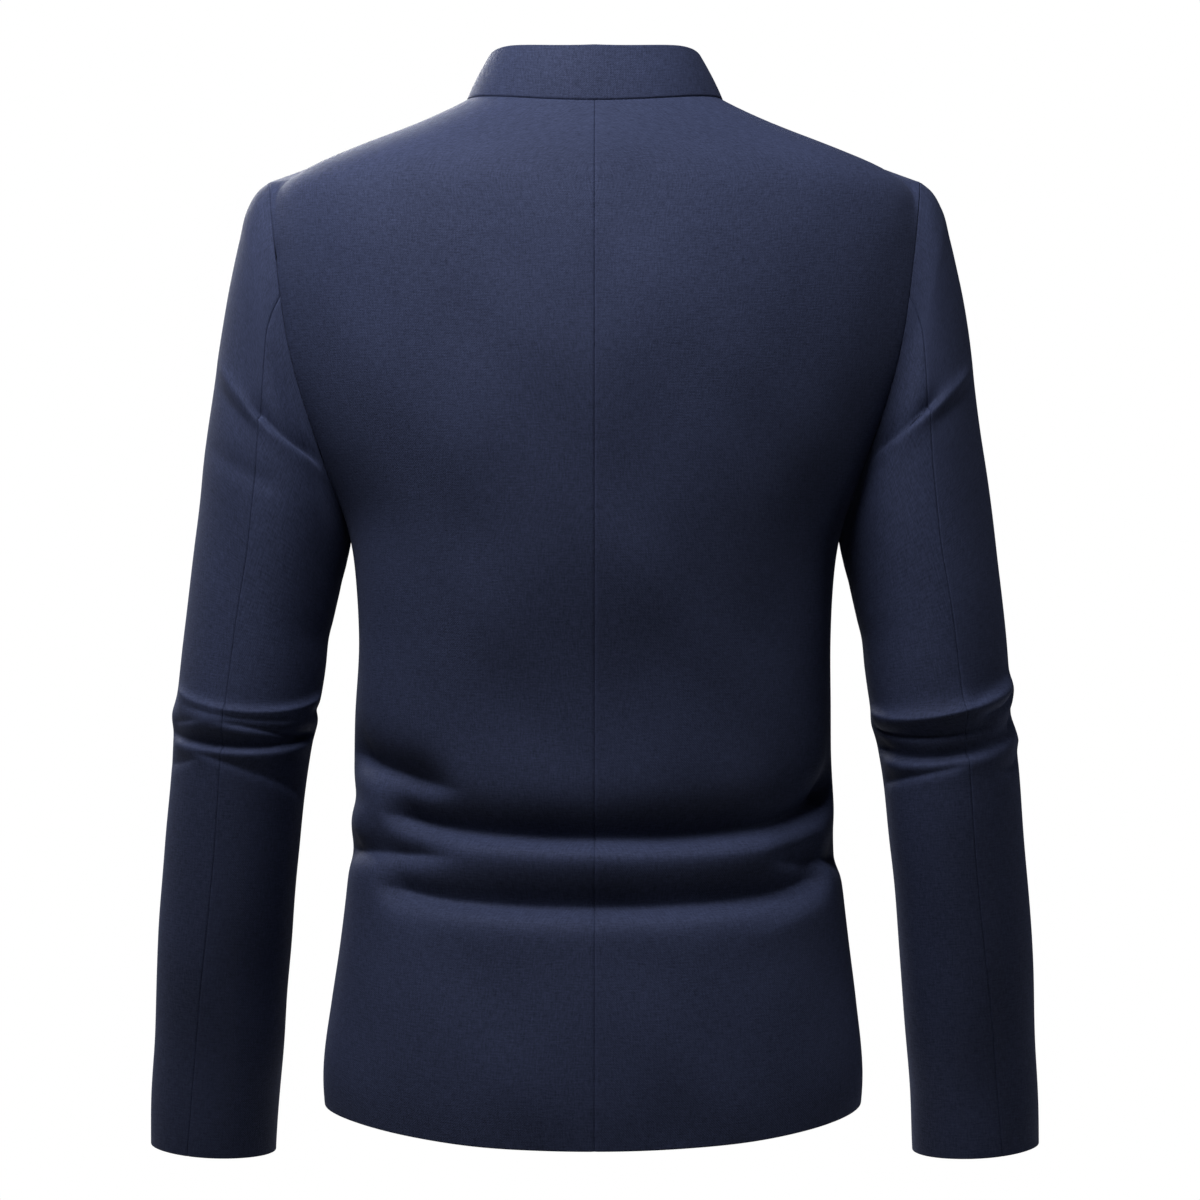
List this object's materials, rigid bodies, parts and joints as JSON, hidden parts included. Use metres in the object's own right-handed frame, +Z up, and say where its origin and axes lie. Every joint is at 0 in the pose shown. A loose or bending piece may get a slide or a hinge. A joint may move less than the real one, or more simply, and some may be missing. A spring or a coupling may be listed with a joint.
{
  "type": "mao jacket",
  "caption": "Slim single-breasted jacket with a standing collar and long set-in sleeves, filled out and hollow as worn, open at neck, cuffs and hem.",
  "frame": {"origin": "middle of the neck, midway between the two points where the collar seam meets the shoulder seams, where the wearer's neck and shoulders hold the jacket up", "axes": "+Z up along the body, -Y the way the jacket's front faces, +X the wearer's left"},
  "size_m": [0.6048, 0.2533, 0.7398],
  "materials": {
    "back_left": "matt navy wool suiting with a faint sheen",
    "back_right": "matt navy wool suiting with a faint sheen",
    "front_left": "matt navy wool suiting with a faint sheen",
    "front_right": "matt navy wool suiting with a faint sheen",
    "sleeve_left_top": "matt navy wool suiting with a faint sheen",
    "sleeve_left_under": "matt navy wool suiting with a faint sheen",
    "sleeve_right_top": "matt navy wool suiting with a faint sheen",
    "sleeve_right_under": "matt navy wool suiting with a faint sheen",
    "collar": "matt navy wool suiting with a faint sheen",
    "button_1": "satin dark navy",
    "button_2": "satin dark navy",
    "button_3": "satin dark navy",
    "button_4": "satin dark navy",
    "button_5": "satin dark navy"
  },
  "bodies": {
    "root": {"back_left": "back_left", "back_right": "back_right", "front_left": "front_left", "front_right": "front_right", "sleeve_left_top": "sleeve_left_top", "sleeve_left_under": "sleeve_left_under", "sleeve_right_top": "sleeve_right_top", "sleeve_right_under": "sleeve_right_under", "collar": "collar", "button_1": "button_1", "button_2": "button_2", "button_3": "button_3", "button_4": "button_4", "button_5": "button_5"}
  },
  "joints": []
}
